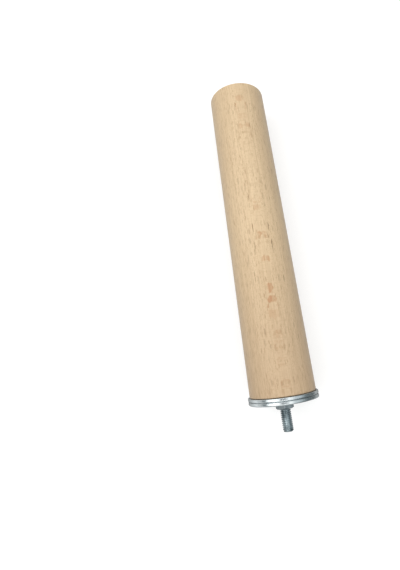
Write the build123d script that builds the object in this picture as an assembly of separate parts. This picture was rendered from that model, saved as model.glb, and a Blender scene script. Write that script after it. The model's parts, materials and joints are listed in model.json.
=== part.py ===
from build123d import *
import math
import os

# A cage perch: a straight beech round with a hanger bolt screwed into one end. Two large washers
# and a hex nut on the bolt clamp the perch to the bars of a cage, one washer each side of the bars.
#
# Millimetres. The origin is on the bolt's axis, in the plane where the two washers meet, which is
# where the bars are gripped. +X runs along the perch to its free end, and +Z is up.

# Beech round
perch_diameter = 30.0
perch_length = 158.75
free_end_easing = 0.6
clamp_end_easing = 0.35

# Hanger bolt, number 10 with 32 threads to the inch: a machine thread outside the wood, a plain
# middle and a wood-screw thread with a gimlet point inside it
stud_diameter = 4.826
thread_pitch = 25.4 / 32
stud_reach = 15.4
machine_length = 14.6
plain_length = 4.5
screw_diameter = 4.8
screw_length = 19.0
gimlet_length = 6.5
gimlet_tip_diameter = 0.5
screw_hole_clearance = 0.05

# Washers, punched from plate and tumbled before plating
washer_diameter = 31.75
washer_thickness = 1.5
washer_play = 0.5
washer_rim_rounding = 0.45
washer_hole_rounding = 0.2

# Hex nut
nut_across_flats = 7.9375
nut_height = 3.175
nut_crown_diameter = 7.1
nut_chamfer_angle = 32.0
nut_thread_clearance = 0.05
nut_countersink = 0.35

# Sixty-degree thread form, as shares of the pitch. The solids keep to the crests, and the blank
# that a thread is rolled from is as thick as the pitch line
crest_to_root = 0.6134
crest_to_pitch_line = 0.3248
thread_depth = crest_to_root * thread_pitch
stud_radius = stud_diameter / 2
blank_radius = stud_radius - crest_to_pitch_line * thread_pitch
screw_radius = screw_diameter / 2
gimlet_tip_radius = gimlet_tip_diameter / 2

# Places along the axis, from the clamping plane
wood_face = washer_thickness
wood_end = wood_face + perch_length
nut_seat = -washer_thickness
nut_end = nut_seat - nut_height
stud_tip = wood_face - stud_reach
machine_end = stud_tip + machine_length
screw_start = machine_end + plain_length
screw_tip = screw_start + screw_length
gimlet_start = screw_tip - gimlet_length


def turned(*outline):
    """A solid of revolution about the perch's axis, from an outline of (x, radius) points."""
    return revolve(make_face(Polyline(*outline, close=True)), Axis.X)


def rims_at(solid, x, radius):
    """The circular edge of this radius, on the axis, at this place along it."""
    circles = solid.edges().filter_by(GeomType.CIRCLE)
    return circles.filter_by(
        lambda rim: math.isclose(rim.radius, radius, abs_tol=1e-6)
        and math.isclose(rim.arc_center.X, x, abs_tol=1e-6)
    )


def screw_hole():
    """The hole that the screw cuts for itself: its own outline, let out by a clearance."""
    radius = screw_radius + screw_hole_clearance
    return turned(
        (wood_face, 0),
        (wood_face, radius),
        (gimlet_start, radius),
        (screw_tip, gimlet_tip_radius + screw_hole_clearance),
        (screw_tip + screw_hole_clearance, 0),
    )


def perch_dowel():
    """The beech round: sawn square at both ends, its edges eased, with the screw's blind hole."""
    radius = perch_diameter / 2
    dowel = turned((wood_face, 0), (wood_face, radius), (wood_end, radius), (wood_end, 0))
    dowel = fillet(rims_at(dowel, wood_end, radius), free_end_easing)
    dowel = fillet(rims_at(dowel, wood_face, radius), clamp_end_easing)
    return dowel - screw_hole()


def hanger_bolt():
    """The bolt: chamfered stud, plain middle, and a screw that tapers to a gimlet point.

    Each thread runs out over one pitch where it meets the plain middle.
    """
    run_out = thread_pitch
    return turned(
        (stud_tip, 0),
        (stud_tip, stud_radius - thread_depth),
        (stud_tip + thread_depth, stud_radius),
        (machine_end - run_out, stud_radius),
        (machine_end, blank_radius),
        (screw_start, blank_radius),
        (screw_start + run_out, screw_radius),
        (gimlet_start, screw_radius),
        (screw_tip, gimlet_tip_radius),
        (screw_tip, 0),
    )


def washer(inner_face):
    """A plain washer whose face towards the wood lies at inner_face, with tumbled edges."""
    hole = stud_radius + washer_play
    rim = washer_diameter / 2
    outer_face = inner_face - washer_thickness
    disc = turned((outer_face, hole), (outer_face, rim), (inner_face, rim), (inner_face, hole))
    for face in (outer_face, inner_face):
        disc = fillet(rims_at(disc, face, rim), washer_rim_rounding)
        disc = fillet(rims_at(disc, face, hole), washer_hole_rounding)
    return disc


def hex_nut():
    """The nut: a hexagonal bar with one corner upwards, turned down to a crown at both ends.

    The two cones of the crowns cut each flat along a hyperbola. The bore clears the thread's
    crests and is countersunk at both ends.
    """
    corner = nut_across_flats / math.sqrt(3)
    crown = nut_crown_diameter / 2
    slope = math.tan(math.radians(nut_chamfer_angle))
    shoulder = (corner - crown) * slope
    bore = stud_radius + nut_thread_clearance
    flats = Plane.YZ * RegularPolygon(nut_across_flats / 2, 6, major_radius=False, rotation=30)
    bar = Pos(X=nut_end) * extrude(flats, nut_height)
    crowned = turned(
        (nut_end, bore),
        (nut_end, crown),
        (nut_end + shoulder, corner),
        (nut_seat - shoulder, corner),
        (nut_seat, crown),
        (nut_seat, bore),
    )
    countersinks = [
        turned(
            (face, 0),
            (face, bore + nut_countersink),
            (face + inwards * nut_countersink, bore),
            (face + inwards * nut_countersink, 0),
        )
        for face, inwards in ((nut_end, 1), (nut_seat, -1))
    ]
    return (bar & crowned) - countersinks


pieces = {
    "perch_dowel": perch_dowel(),
    "hanger_bolt": hanger_bolt(),
    "inner_washer": washer(wood_face),
    "outer_washer": washer(0),
    "hex_nut": hex_nut(),
}

os.makedirs("parts", exist_ok=True)
for node, solid in pieces.items():
    export_step(solid, f"parts/{node}.step")
    print(f"{node}: {solid.volume:.1f} mm3")
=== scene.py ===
# %% [markdown]
# # A bird perch, dressed over its solids
# A cage perch is a beech stick with a bolt in one end, and two washers and a nut that grip the bars of
# the cage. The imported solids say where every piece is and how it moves. This lesson gives each piece its
# real surface: sanded beech, a rolled thread, punched washers and a chamfered nut, the metal in zinc.

import json

import bpy
import numpy as np
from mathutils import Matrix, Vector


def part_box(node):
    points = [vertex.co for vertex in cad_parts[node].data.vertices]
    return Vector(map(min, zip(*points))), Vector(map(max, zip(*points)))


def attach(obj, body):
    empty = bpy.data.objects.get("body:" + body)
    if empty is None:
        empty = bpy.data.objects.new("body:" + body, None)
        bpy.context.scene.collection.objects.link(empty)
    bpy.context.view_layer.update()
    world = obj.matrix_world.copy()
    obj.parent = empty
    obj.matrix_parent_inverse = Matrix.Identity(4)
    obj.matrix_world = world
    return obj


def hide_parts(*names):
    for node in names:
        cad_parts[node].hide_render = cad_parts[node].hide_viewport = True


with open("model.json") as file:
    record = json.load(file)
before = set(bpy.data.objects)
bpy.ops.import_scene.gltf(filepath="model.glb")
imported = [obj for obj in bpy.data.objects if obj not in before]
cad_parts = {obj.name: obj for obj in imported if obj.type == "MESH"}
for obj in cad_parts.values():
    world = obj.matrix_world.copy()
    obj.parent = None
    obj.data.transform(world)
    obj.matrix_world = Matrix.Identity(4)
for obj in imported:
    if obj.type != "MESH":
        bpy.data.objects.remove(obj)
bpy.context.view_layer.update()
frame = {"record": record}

# %% [markdown]
# ## Sizes
# Most sizes can be read from the solids' boxes, so nothing here can drift away from them. The record
# gives the stud's radius, and the thread's pitch too: it ties the nut's turn to the slide of the washer
# that the nut presses. Only what no box shows, such as the form of a thread, is written out.

# %% Read the sizes of the pieces
MM = 0.001
TURN = 2 * np.pi

wood_low, wood_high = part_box("perch_dowel")
bolt_low, bolt_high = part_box("hanger_bolt")
nut_low, nut_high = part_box("hex_nut")
washer_low, washer_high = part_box("outer_washer")

wood_radius = (wood_high.z - wood_low.z) / 2
washer_radius = (washer_high.z - washer_low.z) / 2
nut_flat = (nut_high.y - nut_low.y) / 2
stud_radius = frame["record"]["mounts"][0]["dims"]["r_mm"] * MM
thread_pitch = TURN / frame["record"]["behaviour"]["couplings"][0]["ratio"]
print(f"wood {wood_radius / MM:.2f} mm radius, thread pitch {thread_pitch / MM:.4f} mm")

# %% [markdown]
# ## Surfaces from arrays
# Every piece of this perch is round, or nearly so: a profile carried round the axis, with small changes
# on the way. The Spin tool or a Screw modifier would do for a plain ring, but not for a thread or a
# hexagon, so here a surface is an array of points, one row for each angle and one column for each step
# along the profile, and the faces are worked out from the row and column numbers alone.


# %% Turn a grid of points into a closed mesh
def closed_mesh(name, points, ring):
    """A mesh from points[angle, step]: neighbours in the grid make quads, and the angles wrap round.

    With ring the steps wrap round too, as on a washer. Without it the first and last steps lie on the
    axis, so each becomes one vertex with a fan of triangles. A negative volume means inside out.
    """
    surface = points if ring else points[:, 1:-1]
    vertices = surface.reshape(-1, 3)
    grid = np.arange(len(vertices)).reshape(surface.shape[:2])
    following = np.roll(grid, -1, axis=0)
    here, there = (grid, np.roll(grid, -1, axis=1)) if ring else (grid[:, :-1], grid[:, 1:])
    square = [here, there, np.roll(there, -1, axis=0), np.roll(here, -1, axis=0)]
    quads = np.stack(square, axis=-1).reshape(-1, 4)
    sheets = [quads]
    if not ring:
        first, last = np.full(len(grid), len(vertices)), np.full(len(grid), len(vertices) + 1)
        vertices = np.vstack([vertices, points[0, :1], points[0, -1:]])
        sheets.append(np.stack([first, grid[:, 0], following[:, 0]], axis=-1))
        sheets.append(np.stack([last, following[:, -1], grid[:, -1]], axis=-1))
    a, b, c = (vertices[quads[:, k]] for k in range(3))
    if np.einsum("ij,ij->i", a, np.cross(b, c)).sum() < 0:
        sheets = [sheet[:, ::-1] for sheet in sheets]
    faces = sum((sheet.tolist() for sheet in sheets), [])
    mesh = bpy.data.meshes.new(name)
    mesh.from_pydata(vertices, [], faces)
    mesh.polygons.foreach_set("use_smooth", np.ones(len(faces), bool))
    mesh.validate()
    piece = bpy.data.objects.new(name, mesh)
    bpy.context.scene.collection.objects.link(piece)
    print(f"{name}: {len(vertices)} points, {len(faces)} faces")
    return piece


# %% [markdown]
# ## Profiles
# A profile is two lists, the places along the axis and the radii there. A curve object could hold it, but
# lists can be added to and bent by formulas. Straight stretches and arcs are enough for every piece here.
# Points crowd towards the ends of a stretch, because smooth shading blurs an edge over the face beside
# it, and a narrow face keeps that blur small.


# %% Draw profiles and carry them round
def angles(count):
    """Evenly spaced angles round the axis, as a column, counted from +Y towards +Z."""
    return (np.arange(count) / count * TURN)[:, None]


def round_axis(x, radius, angle):
    """Points at a distance along the axis, a radius and an angle, as arrays that broadcast together."""
    x, radius, angle = np.broadcast_arrays(x, radius, angle)
    return np.stack([x, radius * np.cos(angle), radius * np.sin(angle)], axis=-1)


def eased(start, end, count):
    """Steps from start to end that crowd towards both ends, as the cosine of an even half turn does."""
    return start + (end - start) * (1 - np.cos(np.linspace(0, np.pi, count))) / 2


def corner(centre_x, centre_r, radius, start, end, count):
    """An arc of a profile: x and radius for angles from start to end, in degrees, about its centre."""
    turn = np.radians(np.linspace(start, end, count))
    return centre_x + radius * np.cos(turn), centre_r + radius * np.sin(turn)


def joined(*stretches):
    """One profile from stretches of (x, radius), where a lone number holds for its whole stretch."""
    full = [np.broadcast_arrays(*stretch) for stretch in stretches]
    return [np.concatenate(values) for values in zip(*full)]


# %% [markdown]
# ## The beech round
# A dowel like this is cut by a hollow cutter that runs down the stick, and is then sanded. So it is a
# cylinder that is round to a few hundredths of a millimetre, with a faint chatter along it, sawn ends
# and edges that the sander has just broken. A cylinder with a Bevel modifier would be perfect, and look
# it. Here the profile runs from the bottom of the screw's hole out over the clamp end, along the stick
# and in over the free end, and two small waves are added to its radius.

# %% Make the beech round
FREE_END_EASING = 0.6 * MM
CLAMP_END_EASING = 0.35 * MM
HOLE_RADIUS = 2.45 * MM
HOLE_TIP_RADIUS = 0.3 * MM
HOLE_CONE = 6.5 * MM
HOLE_CLEARANCE = 0.05 * MM
END_DOME = 0.12 * MM
END_DOME_START = 0.75
SKIN_START = 0.9
CHATTER_STEP = 2.3 * MM
CHATTER_DEPTH = 0.008 * MM
CHATTER_SLANT = 0.6
ROUNDNESS = np.array([0.03, 0.02, 0.012, 0.006]) * MM
ROUNDNESS_SEED = 3
ROUNDNESS_CHANGE = 0.4
ROUNDNESS_TURN = 5.0


def ripple(angle, shares, seed):
    """A smooth unevenness round the axis: a few sine waves of seeded phase, with these shares."""
    phases = np.random.default_rng(seed).uniform(0, TURN, len(shares))
    waves = [s * np.sin((k + 2) * angle + p) for k, (s, p) in enumerate(zip(shares, phases))]
    return np.sum(waves, axis=0)


def sanded_away(radius):
    """How far the clamp end falls back: the square of the share of the way from a start to the edge."""
    share = (radius / wood_radius - END_DOME_START) / (1 - END_DOME_START)
    return END_DOME * np.clip(share, 0, 1) ** 2


def beech_profile():
    """The hole's cone and wall, the clamp end, its edge, the long side, and the free end with its edge."""
    face, end, radius = wood_low.x, wood_high.x, wood_radius
    bottom = bolt_high.x + HOLE_CLEARANCE
    across = eased(HOLE_RADIUS, radius - CLAMP_END_EASING, 24)[1:-1]
    inner_edge = face + END_DOME + CLAMP_END_EASING
    outer_edge = end - FREE_END_EASING
    return joined(
        (np.array([bottom]), np.array([0.0])),
        (np.linspace(bottom, bottom - HOLE_CONE, 12), np.linspace(HOLE_TIP_RADIUS, HOLE_RADIUS, 12)),
        (eased(bottom - HOLE_CONE, face, 20)[1:], HOLE_RADIUS),
        (face + sanded_away(across), across),
        corner(inner_edge, radius - CLAMP_END_EASING, CLAMP_END_EASING, 180, 90, 9),
        (np.linspace(inner_edge, outer_edge, 260)[1:-1], radius),
        corner(outer_edge, radius - FREE_END_EASING, FREE_END_EASING, 90, 0, 11),
        (end, eased(radius - FREE_END_EASING, 0, 18)[1:]),
    )


def beech_round():
    """A radius for each angle and step: the profile, plus unevenness round it and chatter along it."""
    x, r = beech_profile()
    angle = angles(192)
    skin = np.clip((r / wood_radius - SKIN_START) / (1 - SKIN_START), 0, 1)
    chatter = CHATTER_DEPTH * np.sin(x / CHATTER_STEP * TURN + CHATTER_SLANT * np.sin(3 * angle))
    change = 1 + ROUNDNESS_CHANGE * np.sin(ROUNDNESS_TURN * x / wood_high.x)
    uneven = ripple(angle, ROUNDNESS, ROUNDNESS_SEED) * change
    return round_axis(x, r + skin * (chatter + uneven), angle)


dowel = closed_mesh("beech_round", beech_round(), ring=False)

# %% [markdown]
# ## The machine thread
# A rolled thread is a height field: at each angle and each place along the bolt there is one radius. With
# phase = place / pitch - angle / turn, every point on the crest has a whole number as its phase, which
# is what makes it a right-hand helix. Sweeping a triangle along a helix gives the same form, but its ends
# are hard to close, while a height field can simply fade into the plain shank, or be cut by the chamfer.

# %% Describe the machine thread
CREST_SHARE = 1 / 16
ROOT_SHARE = 3 / 8
CREST_TO_ROOT = 0.6134
THREAD_DEPTH = CREST_TO_ROOT * thread_pitch
THREAD_SOFTNESS = 0.35
THREAD_START = np.radians(131)


def smooth_step(t):
    """A share from 0 to 1, held level at both ends: three squares less two cubes."""
    t = np.clip(t, 0, 1)
    return t * t * (3 - 2 * t)


def crest_distance(x, angle, pitch):
    """How far a point is from the nearest crest of a right-hand helix, in pitches, from 0 to a half."""
    phase = x / pitch - angle / TURN
    return np.abs(phase - np.round(phase))


def machine_thread(x, angle):
    """Radius of the stud's thread: flat crests, straight flanks and flat roots, a little rounded."""
    apart = crest_distance(x, angle - THREAD_START, thread_pitch)
    height = np.clip((ROOT_SHARE - apart) / (ROOT_SHARE - CREST_SHARE), 0, 1)
    height = height + THREAD_SOFTNESS * (smooth_step(height) - height)
    return stud_radius - THREAD_DEPTH * (1 - height)


print(f"machine thread {THREAD_DEPTH / MM:.3f} mm deep on a radius of {stud_radius / MM:.3f} mm")

# %% [markdown]
# ## The hanger bolt
# A bolt with no head: a machine thread on the outside, a plain middle as thick as the blank it was rolled
# from, and a wood-screw thread that ends in a gimlet point. Most of it is hidden in the wood, and a short
# stub would look the same here, but it is modelled whole. The sheared tip is chamfered and a little hollow.

# %% Make the hanger bolt
MACHINE_LENGTH = 14.6 * MM
PLAIN_LENGTH = 4.5 * MM
GIMLET_LENGTH = 6.5 * MM
SCREW_PITCH = 1.7 * MM
SCREW_CORE = 1.7 * MM
SCREW_CREST = 2.4 * MM
FIN_HALF_WIDTH = 0.2
FIN_POWER = 1.3
POINT_RADIUS = 0.12 * MM
TIP_HOLLOW = 0.12 * MM
CREST_TO_PITCH_LINE = 0.3248
BLANK_RADIUS = stud_radius - CREST_TO_PITCH_LINE * thread_pitch
RUN_OUT = 1.5 * thread_pitch


def screw_thread(x, angle, point_x):
    """Radius of the wood screw: a thin sharp crest on a core, both drawn in towards the gimlet point."""
    taper = np.clip((point_x - x) / GIMLET_LENGTH, 0, 1)
    core = POINT_RADIUS + (SCREW_CORE - POINT_RADIUS) * taper
    height = (SCREW_CREST - SCREW_CORE) * np.sqrt(taper)
    fin = np.clip(1 - crest_distance(x, angle, SCREW_PITCH) / FIN_HALF_WIDTH, 0, 1)
    return core + height * fin**FIN_POWER


def fade(x, start, end):
    """0 before start, 1 after end, with a smooth rise between."""
    return smooth_step((x - start) / (end - start))


def hanger_bolt():
    """The radius at each angle and place: one thread fades into the blank, and that into the other."""
    tip, point = bolt_low.x, bolt_high.x
    plain, screw = tip + MACHINE_LENGTH, tip + MACHINE_LENGTH + PLAIN_LENGTH
    angle = angles(72)
    root = stud_radius - THREAD_DEPTH
    stretches = [(tip, plain, 440), (plain, screw, 24), (screw, point, 330)]
    shank = np.concatenate([np.linspace(*stretch)[1:] for stretch in stretches])
    machine = np.minimum(machine_thread(shank, angle), root + (shank - tip))
    blank = BLANK_RADIUS + (machine - BLANK_RADIUS) * (1 - fade(shank, plain - RUN_OUT, plain))
    wood_screw = screw_thread(shank, angle, point)
    body = blank + (wood_screw - blank) * fade(shank, screw, screw + SCREW_PITCH)
    cap = np.linspace(0, 1, 9)
    dish = round_axis(tip + TIP_HOLLOW * (1 - cap**2), root * cap, angle)
    tail = round_axis(point, np.array([0.0]), angle)
    return np.concatenate([dish, round_axis(shank, body, angle), tail], axis=1)


bolt = closed_mesh("hanger_bolt_threaded", hanger_bolt(), ring=False)

# %% [markdown]
# ## The nut
# A hexagon in polar form is a flat's distance over the cosine of the angle to that flat. Six such flats
# joined by a high power mean give the same hexagon with corners that are just rounded, as drawn bar has.
# The crowns are cones, so where a cone is inside the hexagon it wins, and the edge between the two is the
# curve that every chamfered nut shows. A Boolean would give that edge too, but as ragged triangles.

# %% Make the nut
NUT_CROWN = 3.55 * MM
NUT_CHAMFER_SLOPE = np.tan(np.radians(32))
NUT_CORNER_POWER = 110
NUT_THREAD_GAP = 0.05 * MM
NUT_COUNTERSINK = 0.35 * MM
CREST_TO_NUT_BORE = 0.5413
NUT_BORE = stud_radius - CREST_TO_NUT_BORE * thread_pitch


def hexagon(angle):
    """Distance to a hexagon's edge: the power mean of the distances to its six flats, one facing +Y."""
    flats = np.arange(6) * TURN / 6
    facing = np.clip(np.cos(angle[..., None] - flats), 0, 1)
    return nut_flat / (facing**NUT_CORNER_POWER).sum(-1) ** (1 / NUT_CORNER_POWER)


def nut():
    """A loop for each angle: out over one end, down the cone, along the flat, and back by the thread."""
    low, high = nut_low.x, nut_high.x
    angle = angles(432)
    edge = hexagon(angle)
    drop = (edge - NUT_CROWN) * NUT_CHAMFER_SLOPE
    mouth = stud_radius + NUT_THREAD_GAP + NUT_COUNTERSINK
    share = eased(0, 1, 9)
    flat_x = low + drop + (high - low - 2 * drop) * eased(0, 1, 15)
    bore_x = np.linspace(high, low, 92)[None, :-1]
    thread = np.maximum(machine_thread(bore_x, angle) + NUT_THREAD_GAP, NUT_BORE)
    countersink = mouth - np.minimum(bore_x - low, high - bore_x)
    stretches = [
        (low, eased(mouth, NUT_CROWN, 8)[None, :-1]),
        (low + drop * share[:-1], NUT_CROWN + (edge - NUT_CROWN) * share[:-1]),
        (flat_x, edge),
        (high - drop * (1 - share[1:]), edge + (NUT_CROWN - edge) * share[1:]),
        (high, eased(NUT_CROWN, mouth, 8)[None, 1:-1]),
        (bore_x, np.maximum(thread, countersink)),
    ]
    return np.concatenate([round_axis(x, r, angle) for x, r in stretches], axis=1)


hex_nut = closed_mesh("hex_nut_chamfered", nut(), ring=True)

# %% [markdown]
# ## The washers
# A washer is punched from plate. The punch draws the edge over on the side it enters, shears a smooth
# band and tears the rest, so one rim is rounder than the other and the edge between them leans a little.
# Tumbling then takes off the burr. A torus or a bevelled disc has two equal edges, and the light gives
# that away. The faces stand a hair inside the solid's, so that washers lying on each other can turn.

# %% Make the two washers
WASHER_PLAY = 0.5 * MM
ROLLED_EDGE = 0.55 * MM
TORN_EDGE = 0.28 * MM
HOLE_EDGE = 0.2 * MM
TEAR_LEAN = 0.05 * MM
FACE_GAP = 0.01 * MM
RIM_START = 0.8
RIM_UNEVENNESS = np.array([0.02, 0.015, 0.012, 0.01, 0.008]) * MM


def washer_profile(low, high):
    """A loop: the face at low, its rolled edge, the leaning band, the torn edge at high, and the hole."""
    rim, hole = washer_radius, stud_radius + WASHER_PLAY
    torn_rim = rim - TEAR_LEAN
    band = eased(low + ROLLED_EDGE, high - TORN_EDGE, 16)[1:-1]
    drawn_in = TEAR_LEAN * fade(band, low + ROLLED_EDGE, high - TORN_EDGE)
    return joined(
        (low, eased(hole + HOLE_EDGE, rim - ROLLED_EDGE, 16)[1:-1]),
        corner(low + ROLLED_EDGE, rim - ROLLED_EDGE, ROLLED_EDGE, 180, 90, 13),
        (band, rim - drawn_in),
        corner(high - TORN_EDGE, torn_rim - TORN_EDGE, TORN_EDGE, 90, 0, 9),
        (high, eased(torn_rim - TORN_EDGE, hole + HOLE_EDGE, 16)[1:-1]),
        corner(high - HOLE_EDGE, hole + HOLE_EDGE, HOLE_EDGE, 0, -90, 7),
        (eased(high - HOLE_EDGE, low + HOLE_EDGE, 6)[1:-1], hole),
        corner(low + HOLE_EDGE, hole + HOLE_EDGE, HOLE_EDGE, -90, -180, 7),
    )


def washer(low, high, seed):
    """The profile carried round, with a ripple that grows from nothing inside to full size at the rim."""
    x, r = washer_profile(low, high)
    angle = angles(320)
    outside = np.clip((r / washer_radius - RIM_START) / (1 - RIM_START), 0, 1)
    return round_axis(x, r + outside * ripple(angle, RIM_UNEVENNESS, seed), angle)


washers = {}
for solid, seed in (("inner_washer", 11), ("outer_washer", 23)):
    low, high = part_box(solid)
    surface = washer(low.x + FACE_GAP, high.x - FACE_GAP, seed)
    washers[solid] = closed_mesh(solid + "_punched", surface, ring=True)

# %% [markdown]
# ## Building materials
# A material is a tree of nodes. It could be drawn in the node editor, or written node by node and link by
# link, but that hides what the tree does. So one small helper makes a node, sets its sockets, and links
# any socket that is given another node's output, and the others name what is used most.


# %% Helpers for node trees
def node(tree, kind, inputs=None, **settings):
    """A shader node with its settings, and inputs by name or number: a value, or a socket to link."""
    made = tree.nodes.new("ShaderNode" + kind)
    for name, value in settings.items():
        setattr(made, name, value)
    for key, value in (inputs or {}).items():
        if isinstance(value, bpy.types.NodeSocket):
            tree.links.new(value, made.inputs[key])
        else:
            made.inputs[key].default_value = value
    return made


def maths(tree, operation, a, b=0.0):
    """One Math node's output."""
    return node(tree, "Math", {0: a, 1: b}, operation=operation).outputs[0]


def vector_maths(tree, operation, a, b=(0, 0, 0)):
    """One Vector Math node's output, a vector, or a number for a length or a dot product."""
    made = node(tree, "VectorMath", {0: a, 1: b}, operation=operation)
    return made.outputs["Value" if operation in ("LENGTH", "DOT_PRODUCT") else "Vector"]


def coordinate(tree, vector, axis):
    """One coordinate of a vector, by the axis's number."""
    return node(tree, "SeparateXYZ", {0: vector}).outputs[axis]


def between(tree, value, low, high, to_low=0.0, to_high=1.0):
    """A value's place between two limits, smoothly, carried to two others."""
    inputs = {"Value": value, "From Min": low, "From Max": high, "To Min": to_low, "To Max": to_high}
    return node(tree, "MapRange", inputs, interpolation_type="SMOOTHSTEP").outputs[0]


def mix(tree, share, a, b, blend="MIX"):
    """Two colours mixed by a share."""
    made = node(tree, "Mix", {"Factor": share, 6: a, 7: b}, data_type="RGBA", blend_type=blend)
    return made.outputs[2]


def stretched(tree, vector, scale, place=(0, 0, 0)):
    """Coordinates scaled along each axis and moved."""
    return node(tree, "Mapping", {"Vector": vector, "Scale": scale, "Location": place}).outputs[0]


def drawn_out(tree, vector, scale, detail=2.0, roughness=0.5, place=(0, 0, 0)):
    """Noise with its own scale along each axis, so that it becomes clouds, streaks or sheets."""
    inputs = {
        "Vector": stretched(tree, vector, scale, place),
        "Scale": 1.0,
        "Detail": detail,
        "Roughness": roughness,
    }
    return node(tree, "TexNoise", inputs).outputs["Fac"]


def new_material(name):
    """An empty material and its tree."""
    material = bpy.data.materials.new(name)
    material.use_nodes = True
    material.node_tree.nodes.clear()
    return material, material.node_tree


def millimetres(tree):
    """Object coordinates in millimetres."""
    place = node(tree, "TexCoord").outputs["Object"]
    return node(tree, "VectorMath", {0: place, "Scale": 1 / MM}, operation="SCALE").outputs[0]


# %% [markdown]
# ## Beech: the grain
# Wood is a solid, so its figure belongs to the stick and not to its skin. A picture wrapped round it
# would need a seam, and other pictures for the ends. One texture in Object coordinates gives straight
# grain on the sides and end grain on the ends with neither. The grain isn't quite true to the stick: it
# is turned about the axis, and wanders a little on its way along it. Sizes in the wood are millimetres,
# and a scale says how many waves of noise there are to the millimetre along each axis.

# %% Follow the grain
RAY_TURN = np.radians(7.2)
WANDER_SCALE = (0.012, 0.05, 0.05)
WANDER_MM = (0.0, 1.6, 0.5)
NOISE_MIDDLE = (0.5, 0.5, 0.5)


def jogged(tree, vector, guide, scale, amount):
    """A vector plus noise: the noise's three colours, less their middle, times an amount for each axis."""
    shake = node(tree, "TexNoise", {"Vector": stretched(tree, guide, scale), "Scale": 1.0})
    centred = vector_maths(tree, "SUBTRACT", shake.outputs["Color"], NOISE_MIDDLE)
    return vector_maths(tree, "ADD", vector, vector_maths(tree, "MULTIPLY", centred, amount))


def grain_place(tree, place):
    """Places in the wood: turned so that its rays lie flat under the top, and wandering along the stick."""
    turned = node(tree, "VectorRotate", {"Vector": place, "Angle": -RAY_TURN}, rotation_type="X_AXIS")
    return jogged(tree, turned.outputs[0], place, WANDER_SCALE, WANDER_MM)


# %% [markdown]
# ## Beech: the rays
# The stick is sawn so that the wood's rays, thin sheets that run out from the pith, lie flat under its
# upper side. Where a sheet just touches the round it shows as a broad fleck, a little lower down as a
# pair of short bars, and on the flanks as thin dashes. Painting flecks would need all three drawn. Here
# each ray is a sheet in the solid wood, the middle of a stretched cell, and the round cuts all three.

# %% Scatter the rays
BROAD_RAY_CELL = (5.2, 70.0, 0.46)
FINE_RAY_CELL = (3.4, 45.0, 0.2)
RAY_REACH = (0.2, 0.46)
RAY_CORE = 0.55
RAY_SQUARENESS = 3.0
FRAY_SCALE = (0.9, 1.1, 1.1)
FRAY_MM = (1.8, 0.0, 0.16)


def rough_edged(tree, grain):
    """The same coordinates with a small jog from place to place, which frays the edges of the rays."""
    return jogged(tree, grain, grain, FRAY_SCALE, FRAY_MM)


def ray_sheets(tree, grain, cell, place, share):
    """A mask of thin sheets: the middle of each stretched cell, for the cells drawn by a random share."""
    scale = tuple(1 / size for size in cell)
    inputs = {"Vector": stretched(tree, grain, scale, place), "Scale": 1.0, "Exponent": RAY_SQUARENESS}
    cells = node(tree, "TexVoronoi", inputs, distance="MINKOWSKI")
    chance = node(tree, "SeparateColor", {0: cells.outputs["Color"]}).outputs
    reach = between(tree, chance[0], 0.0, 1.0, *RAY_REACH)
    inside = between(tree, cells.outputs["Distance"], reach, maths(tree, "MULTIPLY", reach, RAY_CORE))
    return maths(tree, "MULTIPLY", inside, between(tree, chance[1], 1 - share, 1.0))


# %% [markdown]
# The sander has laid some rays bare along the top. Chance could place these too, but they are what the
# eye finds first on the stick, so they are set one by one. Each has its place along the stick, its depth
# under the top, and half its length and thickness, all in millimetres, then its lean, how hollow it is
# and how dark. One that is less deep than it is thick shows as a fleck, or as a ring if it is hollow, and
# a deeper one as a pair of dashes. A lean makes an arch, because one end of the ray dips under the round.

# %% Place the rays that the sander laid bare
BARE_RAYS = [
    (146.3, 0.30, 1.5, 0.07, 0.00, 0.0, 0.9),
    (133.0, 0.34, 1.9, 0.08, 0.00, 0.0, 0.9),
    (127.3, 0.36, 2.2, 0.08, 0.00, 0.0, 0.9),
    (92.5, 0.36, 1.9, 0.06, 0.00, 0.0, 0.9),
    (90.5, 0.06, 1.6, 0.08, 0.04, 1.0, 0.45),
    (88.0, 0.40, 1.2, 0.05, 0.00, 0.0, 0.6),
    (76.6, 0.42, 2.4, 0.07, 0.00, 0.0, 1.0),
    (72.4, 0.10, 1.9, 0.14, -0.05, 0.5, 0.85),
    (67.6, 0.55, 2.6, 0.07, 0.00, 0.0, 1.0),
    (61.0, 0.02, 1.7, 0.11, -0.04, 0.0, 0.8),
    (47.2, 0.01, 2.4, 0.06, 0.00, 0.1, 1.0),
    (42.2, 0.05, 1.6, 0.12, -0.02, 0.0, 1.0),
    (39.4, 0.20, 0.9, 0.07, -0.05, 0.0, 0.9),
    (34.5, 0.00, 1.3, 0.05, 0.00, 1.0, 0.4),
    (27.0, 0.10, 1.6, 0.07, -0.04, 0.3, 0.5),
    (22.5, 0.05, 2.0, 0.12, 0.03, 1.0, 0.45),
    (15.5, 0.05, 1.9, 0.11, 0.00, 1.0, 0.3),
    (6.8, 0.05, 1.7, 0.11, 0.00, 1.0, 0.35),
]
ENDLESS = 1e6
LENS_RIM = (1.15, 0.75)
LENS_HEART = (0.75, 0.4)


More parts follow.
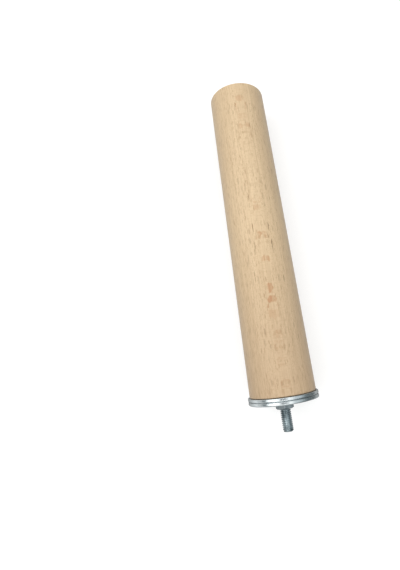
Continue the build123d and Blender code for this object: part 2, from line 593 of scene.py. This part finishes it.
def bare_rays(tree, grain):
    """The largest of all lenses' masks, each by the distance from its middle, in half sizes.

    A mask is 0 outside the lens and its darkness inside, less so at the heart of a hollow one.
    """
    mask = 0.0
    for along, depth, half_length, half_thickness, lean, hollow, dark in BARE_RAYS:
        inputs = {
            "Vector": grain,
            "Location": (along, 0.0, wood_radius / MM - depth),
            "Rotation": (0.0, lean, 0.0),
            "Scale": (half_length, ENDLESS, half_thickness),
        }
        within = node(tree, "Mapping", inputs, vector_type="TEXTURE").outputs[0]
        apart = vector_maths(tree, "LENGTH", within)
        filled = between(tree, apart, *LENS_HEART, dark, dark * (1 - hollow))
        lens = maths(tree, "MULTIPLY", between(tree, apart, *LENS_RIM), filled)
        mask = maths(tree, "MAXIMUM", mask, lens)
    return mask


print(len(BARE_RAYS), "rays laid bare")

# %% [markdown]
# ## Beech: the plain wood
# Between the rays the wood is fibres and vessels: fibres as fine streaks, vessels as short dark lines,
# and minute rays as specks. A picture would repeat along the stick. Noise drawn out along the grain never
# does. Growth rings go round a pith outside the stick, and hardly show on the sides. All of these darken
# a base tone that is cloudy, because no two parts of a board are quite alike.

# %% Lay rings, fibres and vessels over the base tone
PITH = (0.0, 58.0, -3.0)
RING_WIDTH = 2.6
RING_UNEVENNESS = 1.6
RING_UNEVENNESS_SCALE = (0.01, 0.2, 0.2)
RING_POWER = 4.0
CLOUD_SCALE = (0.012, 0.03, 0.03)
CLOUD_PLACE = (0.7, 0.0, 0.0)
CLOUD_LIMITS = (0.3, 0.7)
STREAK_SCALE = (0.015, 0.6, 0.6)
STREAK_LIMITS = (0.35, 0.7)
FIBRE_LIMITS = (0.4, 0.66)
MINUTE_RAY_SCALE = (2.2, 0.09, 5.0)
MINUTE_RAY_LIMITS = (0.54, 0.66)
DEEP_WOOD = (0.72, 0.545, 0.346, 1)
PALE_WOOD = (0.785, 0.60, 0.386, 1)
STREAK_TONE = (0.65, 0.47, 0.285, 1)
RING_TONE = (0.60, 0.42, 0.25, 1)
FIBRE_TONE = (0.59, 0.425, 0.255, 1)
VESSEL_TONE = (0.44, 0.28, 0.15, 1)
MINUTE_RAY_TONE = (0.55, 0.375, 0.215, 1)
FINE_RAY_TONE = (0.48, 0.305, 0.165, 1)


def growth_rings(tree, grain, place):
    """How far the year has gone, from 0 to 1, at a distance from the pith, to a power for thin lines."""
    across = vector_maths(tree, "MULTIPLY", vector_maths(tree, "SUBTRACT", grain, PITH), (0, 1, 1))
    distance = vector_maths(tree, "LENGTH", across)
    uneven = maths(tree, "MULTIPLY", drawn_out(tree, place, RING_UNEVENNESS_SCALE), RING_UNEVENNESS)
    years = maths(tree, "MULTIPLY", maths(tree, "ADD", distance, uneven), 1 / RING_WIDTH)
    return maths(tree, "POWER", maths(tree, "FRACT", years), RING_POWER)


def plain_wood(tree, place, grain, rings, fibres, vessels, fine_rays):
    """A cloudy base tone, taken in turn towards each layer's tone by its mask times its strength."""
    cloud = drawn_out(tree, place, CLOUD_SCALE, place=CLOUD_PLACE)
    streaks = drawn_out(tree, grain, STREAK_SCALE)
    minute_rays = drawn_out(tree, grain, MINUTE_RAY_SCALE, detail=1.0)
    layers = [
        (between(tree, streaks, *STREAK_LIMITS), 0.28, STREAK_TONE),
        (rings, 0.22, RING_TONE),
        (between(tree, fibres, *FIBRE_LIMITS), 0.52, FIBRE_TONE),
        (vessels, 0.85, VESSEL_TONE),
        (between(tree, minute_rays, *MINUTE_RAY_LIMITS), 0.3, MINUTE_RAY_TONE),
        (fine_rays, 0.75, FINE_RAY_TONE),
    ]
    tone = mix(tree, between(tree, cloud, *CLOUD_LIMITS), DEEP_WOOD, PALE_WOOD)
    for mask, strength, layer_tone in layers:
        tone = mix(tree, maths(tree, "MULTIPLY", mask, strength), tone, layer_tone)
    return tone


# %% [markdown]
# ## Beech: rays and sawn ends over it
# On the top a ray is cut along its face and shows its own warm tone, streaked where the sander has worn it
# through. On the flanks it is cut across, and is dark. The ends are sawn, so the fibres are cut across,
# take in more light and show the rings, with the rays as faint spokes. The ends could have a material of
# their own, but then the figure would break at the edge. A mask from the normal keeps it whole.

# %% Lay the rays and the sawn ends over the plain wood
RAY_FACE_TONE = (0.57, 0.325, 0.175, 1)
RAY_EDGE_TONE = (0.33, 0.21, 0.115, 1)
FLANK_MM = (2.0, 4.0)
WORN_SCALE = (0.1, 1.7, 1.7)
WORN_LIMITS = (0.38, 0.58)
WORN_SHARES = (0.3, 1.0)
END_FACING = (0.75, 0.95)
CUT_TONE = (0.50, 0.345, 0.21, 1)
CUT_RING_TONE = (0.36, 0.23, 0.13, 1)
SPOKE_SCALE = (0.4, 0.05, 3.2)
SPOKE_LIMITS = (0.48, 0.7)
SPOKE_STRENGTH = 0.5
SPOKE_TONE = (0.40, 0.25, 0.15, 1)
CUT_SHARE = 0.6


def with_rays(tree, tone, grain, rays):
    """The tone, taken to the rays' own by their mask: warm near the top's middle line, dark beyond it."""
    off_middle = maths(tree, "ABSOLUTE", coordinate(tree, grain, 1))
    ray_tone = mix(tree, between(tree, off_middle, *FLANK_MM), RAY_FACE_TONE, RAY_EDGE_TONE)
    worn = between(tree, drawn_out(tree, grain, WORN_SCALE), *WORN_LIMITS, *WORN_SHARES)
    return mix(tree, maths(tree, "MULTIPLY", rays, worn), tone, ray_tone)


def sawn_ends(tree):
    """A mask of the two sawn ends: 1 where the surface faces along the stick, 0 on its sides."""
    facing = coordinate(tree, node(tree, "TexCoord").outputs["Normal"], 0)
    return between(tree, maths(tree, "ABSOLUTE", facing), *END_FACING)


def with_ends(tree, tone, grain, rings, ends):
    """The tone, taken part of the way to end grain on the sawn ends: rings first, then spokes."""
    spokes = between(tree, drawn_out(tree, grain, SPOKE_SCALE), *SPOKE_LIMITS, 0.0, SPOKE_STRENGTH)
    cut_tone = mix(tree, rings, CUT_TONE, CUT_RING_TONE)
    cut_tone = mix(tree, spokes, cut_tone, SPOKE_TONE)
    return mix(tree, maths(tree, "MULTIPLY", ends, CUT_SHARE), tone, cut_tone)


# %% [markdown]
# ## Beech: the finish
# The stick is bare wood: sanded, neither oiled nor lacquered, so it is matt with a faint sheen from the
# fibres that the sander has raised. Towards the clamp its tone is darkened and greyed, which is painted
# shade for the light that falls off at that end. One side of it has fewer broad rays and vessels than the
# other. The bump is only as deep as open vessels and saw marks are. Modelling those would take millions of
# faces for what no eye sees as a shape.

# %% Make the beech material
FIBRE_SCALE = (0.045, 3.4, 3.4)
FIBRE_HEIGHT = 0.5
VESSEL_SCALE = (0.3, 4.4, 4.4)
VESSEL_LIMITS = (0.63, 0.71)
VESSEL_DEPTH = 0.8
SAW_SCALE = (0.0, 1.8, 0.1)
BROAD_RAY_PLACE = (3.1, 0.4, 0.2)
BROAD_RAY_SHARE = 0.95
BROAD_RAY_STRENGTH = 0.9
FINE_RAY_PLACE = (8.7, 2.6, 5.3)
FINE_RAY_SHARE = 0.45
CALM_SIDE_MM = (1.0, 9.0)
CALM_SHARE = 0.5
CLAMP_END_PAINTED_SHADE = (0.865, 0.84, 0.845, 1)
PAINTED_SHADE_REACH_MM = 80.0
GRAIN_DEPTH = 0.06 * MM
SANDED_LIMITS = (0.2, 0.8)
SANDED_ROUGHNESS = (0.62, 0.5)
SAWN_ROUGHNESS = 0.15


def grain_bump(tree, place, fibres, vessels, ends):
    """A normal from a height: half the fibres, less most of the vessels, plus saw marks on the ends."""
    saw_marks = maths(tree, "MULTIPLY", drawn_out(tree, place, SAW_SCALE), ends)
    height = maths(tree, "MULTIPLY", fibres, FIBRE_HEIGHT)
    height = maths(tree, "SUBTRACT", height, maths(tree, "MULTIPLY", vessels, VESSEL_DEPTH))
    height = maths(tree, "ADD", height, saw_marks)
    return node(tree, "Bump", {"Strength": 0.25, "Distance": GRAIN_DEPTH, "Height": height}).outputs[0]


def beech():
    """Plain wood, then rays, painted shade at the clamp end and sawn ends, on a matt shader with a faint
    sheen.
    """
    material, tree = new_material("beech")
    place = millimetres(tree)
    grain = grain_place(tree, place)
    frayed = rough_edged(tree, grain)
    calm = between(tree, coordinate(tree, grain, 1), *CALM_SIDE_MM, 1.0, CALM_SHARE)
    ends = sawn_ends(tree)
    sides = maths(tree, "SUBTRACT", 1.0, ends)

    rings = growth_rings(tree, grain, place)
    fibres = drawn_out(tree, grain, FIBRE_SCALE, detail=3.0, roughness=0.65)
    pores = drawn_out(tree, grain, VESSEL_SCALE, detail=1.0)
    vessels = maths(tree, "MULTIPLY", between(tree, pores, *VESSEL_LIMITS), calm)
    fine_rays = ray_sheets(tree, frayed, FINE_RAY_CELL, FINE_RAY_PLACE, FINE_RAY_SHARE)
    broad_rays = ray_sheets(tree, frayed, BROAD_RAY_CELL, BROAD_RAY_PLACE, BROAD_RAY_SHARE)
    broad_rays = maths(tree, "MULTIPLY", broad_rays, maths(tree, "MULTIPLY", calm, BROAD_RAY_STRENGTH))
    rays = maths(tree, "MAXIMUM", broad_rays, bare_rays(tree, frayed))

    tone = plain_wood(tree, place, grain, rings, fibres, vessels, fine_rays)
    tone = with_rays(tree, tone, grain, maths(tree, "MULTIPLY", rays, sides))
    # Painted shade: the tone is darkened and greyed towards the clamp end, where the light falls off.
    painted_shade_near_clamp = between(tree, coordinate(tree, place, 0), PAINTED_SHADE_REACH_MM, 0.0)
    tone = mix(tree, painted_shade_near_clamp, tone, CLAMP_END_PAINTED_SHADE, blend="MULTIPLY")
    tone = with_ends(tree, tone, grain, rings, ends)

    sanded = between(tree, fibres, *SANDED_LIMITS, *SANDED_ROUGHNESS)
    inputs = {
        "Base Color": tone,
        "Roughness": maths(tree, "ADD", sanded, maths(tree, "MULTIPLY", ends, SAWN_ROUGHNESS)),
        "Specular IOR Level": 0.35,
        "Sheen Weight": 0.35,
        "Sheen Roughness": 0.4,
        "Normal": grain_bump(tree, place, fibres, vessels, ends),
    }
    shader = node(tree, "BsdfPrincipled", inputs)
    node(tree, "OutputMaterial", {"Surface": shader.outputs[0]})
    print("beech:", len(tree.nodes), "nodes")
    return material


# %% [markdown]
# ## Zinc plate
# Bolt, nut and washers come from the same plating barrel: bluish bright zinc under a cloudy passivation
# film, with fine scratches from tumbling against its neighbours, and specks. Three copies of the nodes
# would drift apart. It is one effect in three materials, so it is a node group, and each material gives
# it its own tones and wear.

# %% Make the plating group
FILM_SCALE = (0.3, 0.3, 0.3)
FILM_LIMITS = (0.35, 0.7)
FILM_SATIN_LIMITS = (0.3, 0.7)
FILM_SATIN = 0.1
SPECK_SCALE = (5.0, 5.0, 5.0)
SPECK_LIMITS = (0.62, 0.8)
SPECK_STRENGTH = 0.35
SPECK_HEIGHT = 0.4
SCRATCH_SCALE = (0.6, 0.2, 7.0)
SCRATCH_LIMITS = (0.64, 0.74)
SCRATCH_SATIN = 0.2
SCRATCH_TURNS = (0.3, 1.1, 2.0, 2.7)


def new_group(name, inputs, outputs):
    """A shader node group with these named sockets, its tree, and its input and output nodes."""
    tree = bpy.data.node_groups.new(name, "ShaderNodeTree")
    for label, kind, default in inputs:
        socket = tree.interface.new_socket(label, in_out="INPUT", socket_type="NodeSocket" + kind)
        socket.default_value = default
    for label, kind in outputs:
        tree.interface.new_socket(label, in_out="OUTPUT", socket_type="NodeSocket" + kind)
    return tree, tree.nodes.new("NodeGroupInput"), tree.nodes.new("NodeGroupOutput")


def tumbling_scratches(tree, place):
    """Fine straight lines in a few directions: for each, noise drawn out along it, and its crests kept."""
    lines = 0.0
    for turn in SCRATCH_TURNS:
        turned = node(tree, "VectorRotate", {"Vector": place, "Angle": turn}, rotation_type="X_AXIS")
        drawn = drawn_out(tree, turned.outputs[0], SCRATCH_SCALE, detail=1.0)
        lines = maths(tree, "MAXIMUM", lines, between(tree, drawn, *SCRATCH_LIMITS))
    return lines


def zinc_plating():
    """A group: cloudy film, tumbling scratches and specks, as a colour, a roughness and a height.

    Film and specks take the bright tone towards the dull one. Film and scratches add to the satin.
    """
    inputs = [
        ("Place", "Vector", (0, 0, 0)),
        ("Bright", "Color", (0.8, 0.84, 0.86, 1)),
        ("Dull", "Color", (0.5, 0.55, 0.58, 1)),
        ("Dull Share", "Float", 0.5),
        ("Rub", "Float", 0.5),
        ("Satin", "Float", 0.16),
    ]
    outputs = [("Color", "Color"), ("Roughness", "Float"), ("Height", "Float")]
    tree, entrance, way_out = new_group("zinc_plating", inputs, outputs)
    given = entrance.outputs
    film = drawn_out(tree, given["Place"], FILM_SCALE)
    specks = drawn_out(tree, given["Place"], SPECK_SCALE)
    rub = maths(tree, "MULTIPLY", tumbling_scratches(tree, given["Place"]), given["Rub"])
    dull = maths(tree, "MULTIPLY", between(tree, film, *FILM_LIMITS), given["Dull Share"])
    colour = mix(tree, dull, given["Bright"], given["Dull"])
    colour = mix(tree, between(tree, specks, *SPECK_LIMITS, 0.0, SPECK_STRENGTH), colour, given["Dull"])
    rough = between(tree, film, *FILM_SATIN_LIMITS, 0.0, FILM_SATIN)
    rough = maths(tree, "ADD", rough, maths(tree, "MULTIPLY", rub, SCRATCH_SATIN))
    rough = maths(tree, "ADD", rough, given["Satin"])
    height = maths(tree, "SUBTRACT", maths(tree, "MULTIPLY", specks, SPECK_HEIGHT), rub)
    for label, socket in (("Color", colour), ("Roughness", rough), ("Height", height)):
        tree.links.new(socket, way_out.inputs[label])
    print("zinc_plating:", len(tree.nodes), "nodes")
    return tree


plating = zinc_plating()

# %% [markdown]
# The washers are the brightest. The bolt and the nut are given darker tones, which is painted shade: it
# darkens what they mirror of the pale floor and the room. The bolt's film is placed so that its dull and
# bright patches stand for its dark reflections and glints, which is painted reflection. A thread keeps its
# satin, because nothing reaches into its roots.

# %% Make the three zinc materials
PLATING_DEPTH = 0.03 * MM
EDGE_TINT = (0.6, 0.6, 0.6, 1)


def zinc(name, bright, dull, dull_share, rub, satin, place):
    """Plated steel: a metal shader under the plating group, in its own tones and place in the film."""
    material, tree = new_material(name)
    given = {
        "Place": stretched(tree, millimetres(tree), (1, 1, 1), place),
        "Bright": (*bright, 1),
        "Dull": (*dull, 1),
        "Dull Share": dull_share,
        "Rub": rub,
        "Satin": satin,
    }
    plate = node(tree, "Group", given, node_tree=plating).outputs
    bump = node(tree, "Bump", {"Strength": 0.2, "Distance": PLATING_DEPTH, "Height": plate["Height"]})
    inputs = {
        "Base Color": plate["Color"],
        "Metallic": 1.0,
        "Specular Tint": EDGE_TINT,
        "Roughness": plate["Roughness"],
        "Normal": bump.outputs[0],
    }
    shader = node(tree, "BsdfPrincipled", inputs)
    node(tree, "OutputMaterial", {"Surface": shader.outputs[0]})
    print(f"{name}: {len(tree.nodes)} nodes")
    return material


zinc_washer = zinc(
    "zinc_washer", bright=(0.74, 0.79, 0.81), dull=(0.50, 0.57, 0.60),
    dull_share=0.3, rub=0.5, satin=0.17, place=(0, 0, 0),
)
# Painted shade and reflection: the bolt's tones are lowered to darken what it mirrors of the pale floor,
# and its film is placed so that dull and bright patches stand for dark reflections and glints.
zinc_bolt = zinc(
    "zinc_bolt", bright=(0.58, 0.66, 0.69), dull=(0.17, 0.22, 0.24),
    dull_share=0.85, rub=0.3, satin=0.29, place=(7, 2, 0),
)
# Painted shade: the nut's tones are lowered to darken what it mirrors of the pale floor and the room.
zinc_nut = zinc(
    "zinc_nut", bright=(0.48, 0.522, 0.545), dull=(0.20, 0.228, 0.242),
    dull_share=0.6, rub=0.4, satin=0.18, place=(0, 0, 0),
)

# %% [markdown]
# ## Dressing the frame
# Each piece stands for one solid: it hides that solid, moves with that solid's body and carries its finish.
# A piece could be parented and placed by eye, but there is no need, because every surface was worked out
# in the frame's own coordinates.

# %% Give every piece its finish and its body
dressing = [
    (dowel, "perch_dowel", "perch", "beech", beech()),
    (bolt, "hanger_bolt", "perch", "zinc_bolt", zinc_bolt),
    (washers["inner_washer"], "inner_washer", "inner_washer", "zinc_washer", zinc_washer),
    (washers["outer_washer"], "outer_washer", "outer_washer", "zinc_washer", zinc_washer),
    (hex_nut, "hex_nut", "nut", "zinc_nut", zinc_nut),
]
for piece, solid, body, slot, finish in dressing:
    piece.data.materials.append(finish)
    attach(piece, body)
    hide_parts(solid)
    print(f"{piece.name} stands for {solid} on {body}")

# %% [markdown]
# ## The floor
# The perch lies on a pale floor. More light would make it white, and bleach the wood too. So the camera
# sees the floor lifted towards white by a little light of its own, which lights nothing else, and the
# soft shadow of the perch stays on it. Mirrors see less of that lift. For them the floor is paler some way
# off on one side, and has a dark card on the other, such as a studio lays beside bright metal to give it
# an edge.

# %% Lay the floor
FLOOR_SIZE = 6.0
FLOOR_TONE = (0.5, 0.5, 0.5, 1)
CARD_TONE = (0.05, 0.06, 0.06, 1)
FLOOR_LIFT = 0.6
MIRRORED_LIFT = 0.2
MIRRORED_FAR_LIFT = 0.55
PALE_SIDE = (0.045, 0.09)
DARK_CARD = (-0.035, -0.07)


def pale_floor():
    """A diffuse sheet, plus emission for camera, mirror and glass rays only.

    The emission is the lift times the largest of the shares for those rays. A card darkens the sheet
    for mirror rays alone.
    """
    material, tree = new_material("pale_floor")
    rays = node(tree, "LightPath").outputs
    across = coordinate(tree, node(tree, "TexCoord").outputs["Object"], 1)
    share = between(tree, across, *PALE_SIDE, MIRRORED_LIFT, MIRRORED_FAR_LIFT)
    mirrored = maths(tree, "MULTIPLY", rays["Is Glossy Ray"], share)
    seen = maths(tree, "MAXIMUM", rays["Is Camera Ray"], mirrored)
    seen = maths(tree, "MAXIMUM", seen, rays["Is Transmission Ray"])
    card = maths(tree, "MULTIPLY", rays["Is Glossy Ray"], between(tree, across, *DARK_CARD))
    sheet = node(tree, "BsdfDiffuse", {"Color": mix(tree, card, FLOOR_TONE, CARD_TONE)})
    lift = node(tree, "Emission", {"Strength": maths(tree, "MULTIPLY", seen, FLOOR_LIFT)})
    both = node(tree, "AddShader", {0: sheet.outputs[0], 1: lift.outputs[0]})
    node(tree, "OutputMaterial", {"Surface": both.outputs[0]})
    return material


half = FLOOR_SIZE / 2
level = -washer_radius
corners = [(-half, -half, level), (half, -half, level), (half, half, level), (-half, half, level)]
square = bpy.data.meshes.new("floor")
square.from_pydata(corners, [], [(0, 1, 2, 3)])
floor = bpy.data.objects.new("floor", square)
floor.data.materials.append(pale_floor())
bpy.context.scene.collection.objects.link(floor)
print(f"floor {-level / MM:.2f} mm under the axis")

# %% [markdown]
# ## The lamp
# One soft lamp, above the free end and well off to one side, adds direction to the light of the room, and
# gives the round its shade and its shadow. A sun would draw a hard shadow. A square area lamp, near and
# fairly large, draws a soft one.

# %% Hang the lamp
LAMP_PLACE = (0.2, 0.386, 0.46)
LAMP_SIZE = 0.3
LAMP_POWER = 0.62

aim = Vector(((wood_low.x + wood_high.x) / 2, 0, 0)) - Vector(LAMP_PLACE)
light = bpy.data.lights.new("main_lamp", "AREA")
light.shape = "SQUARE"
light.size = LAMP_SIZE
light.energy = LAMP_POWER
lamp = bpy.data.objects.new("main_lamp", light)
lamp.location = LAMP_PLACE
lamp.rotation_euler = aim.to_track_quat("-Z", "Y").to_euler()
bpy.context.scene.collection.objects.link(lamp)
print(f"lamp {aim.length:.2f} m from the middle of the stick")

# %% [markdown]
# ## The room
# Metal shows mostly what it mirrors, so a room for photographing plated metal is bright above and dark
# round the sides. A ring of lamps and cards would do it. Here the sky itself is such a dome, by height:
# dark at the horizon, pale above, and darker at the very top, where the camera gets in the way. For
# mirrors, one side is a grey wall that starts lower than the sky does, and the other a low pale wall. The
# camera sees a plain white backdrop instead.

# %% Set up the room
HORIZON = (0.10, 0.12, 0.125, 1)
OPEN_SKY = (1.0, 0.99, 0.97, 1)
OVERHEAD = (0.12, 0.13, 0.14, 1)
GREY_WALL = (0.42, 0.45, 0.46, 1)
PALE_WALL = (0.44, 0.44, 0.43, 1)
BACKDROP = (1, 1, 1, 1)
SKY_STRENGTH = 1.55
SKY_RISE = (0.42, 0.76)
OVERHEAD_RISE = (0.955, 0.985)
GREY_SIDE = (0.0, -1.0, 0.0)
GREY_WALL_DROP = 0.18
PALE_WALL_TOP = (0.42, 0.15)
WALL_EDGE = (0.3, 0.6)


def mirrored_side(tree, facing, rays):
    """How far a direction faces one side, from 0 to 1, for mirror rays, and 0 for all others."""
    return maths(tree, "MULTIPLY", maths(tree, "MAXIMUM", facing, 0.0), rays["Is Glossy Ray"])


def room_air(tree, rays):
    """The sky's colour by height, from horizon to sky to overhead, with its two walls for mirrors."""
    towards = node(tree, "TexCoord").outputs["Generated"]
    up = coordinate(tree, towards, 2)
    facing = vector_maths(tree, "DOT_PRODUCT", towards, GREY_SIDE)
    grey = mirrored_side(tree, facing, rays)
    pale = mirrored_side(tree, maths(tree, "MULTIPLY", facing, -1.0), rays)
    sky = mix(tree, between(tree, grey, *WALL_EDGE), OPEN_SKY, GREY_WALL)
    low_wall = between(tree, up, *PALE_WALL_TOP)
    low_wall = maths(tree, "MULTIPLY", between(tree, pale, *WALL_EDGE), low_wall)
    horizon = mix(tree, low_wall, HORIZON, PALE_WALL)
    height = maths(tree, "ADD", up, maths(tree, "MULTIPLY", grey, GREY_WALL_DROP))
    air = mix(tree, between(tree, height, *SKY_RISE), horizon, sky)
    return mix(tree, between(tree, up, *OVERHEAD_RISE), air, OVERHEAD)


def room():
    """A world of that sky for light and mirrors, and of the backdrop for camera and glass rays."""
    world = bpy.data.worlds.new("room")
    world.use_nodes = True
    tree = world.node_tree
    tree.nodes.clear()
    rays = node(tree, "LightPath").outputs
    sky = node(tree, "Background", {"Color": room_air(tree, rays), "Strength": SKY_STRENGTH})
    backdrop = node(tree, "Background", {"Color": BACKDROP, "Strength": 1.0})
    seen = maths(tree, "MAXIMUM", rays["Is Camera Ray"], rays["Is Transmission Ray"])
    shown = node(tree, "MixShader", {0: seen, 1: sky.outputs[0], 2: backdrop.outputs[0]})
    node(tree, "OutputWorld", {"Surface": shown.outputs[0]})
    print("room:", len(tree.nodes), "nodes")
    return world


bpy.context.scene.world = room()
bpy.context.scene.view_settings.view_transform = "Standard"

# %% [markdown]
# ## The camera
# The photograph was taken close, with a wide lens, so the clamp end is larger than the free end. A camera
# set by eye would never show that quite right. This one was worked out from the outline of the round: it
# hangs over the axis, turned so that the stud points down. The lens is shifted, because the photograph was
# trimmed, and the sensor has the picture's shape, so that other views aren't cut off.

# %% Set up the camera
IMAGE_WIDTH, IMAGE_HEIGHT = 400, 570
FOCAL_PIXELS = 361.24
LENS_CENTRE = (240.5, 240.5)
SENSOR = 36.0
CAMERA_ALONG_RADII = 1.26602
CAMERA_HEIGHT_RADII = 11.78436
CAMERA_RIGHT = (-0.13429, -0.98655, -0.09319)
CAMERA_UP = (0.94474, -0.15584, 0.28839)
NEAREST = 0.01


def photo_camera():
    """A camera with the photograph's focal length, centre and direction."""
    data = bpy.data.cameras.new("photo_camera")
    data.sensor_fit = "VERTICAL"
    data.sensor_height = SENSOR
    data.sensor_width = SENSOR * IMAGE_WIDTH / IMAGE_HEIGHT
    data.lens = FOCAL_PIXELS / IMAGE_HEIGHT * SENSOR
    data.shift_x = (IMAGE_WIDTH / 2 - LENS_CENTRE[0]) / IMAGE_HEIGHT
    data.shift_y = (LENS_CENTRE[1] - IMAGE_HEIGHT / 2) / IMAGE_HEIGHT
    data.clip_start = NEAREST
    right = Vector(CAMERA_RIGHT).normalized()
    back = right.cross(Vector(CAMERA_UP)).normalized()
    turned = Matrix((right, back.cross(right), back)).transposed().to_4x4()
    along, height = CAMERA_ALONG_RADII * wood_radius, CAMERA_HEIGHT_RADII * wood_radius
    turned.translation = (wood_low.x + along, 0.0, height)
    made = bpy.data.objects.new("photo_camera", data)
    made.matrix_world = turned
    bpy.context.scene.collection.objects.link(made)
    print(f"camera {height / MM:.0f} mm over the axis, lens {data.lens:.1f} mm")
    return made


bpy.context.scene.camera = photo_camera()
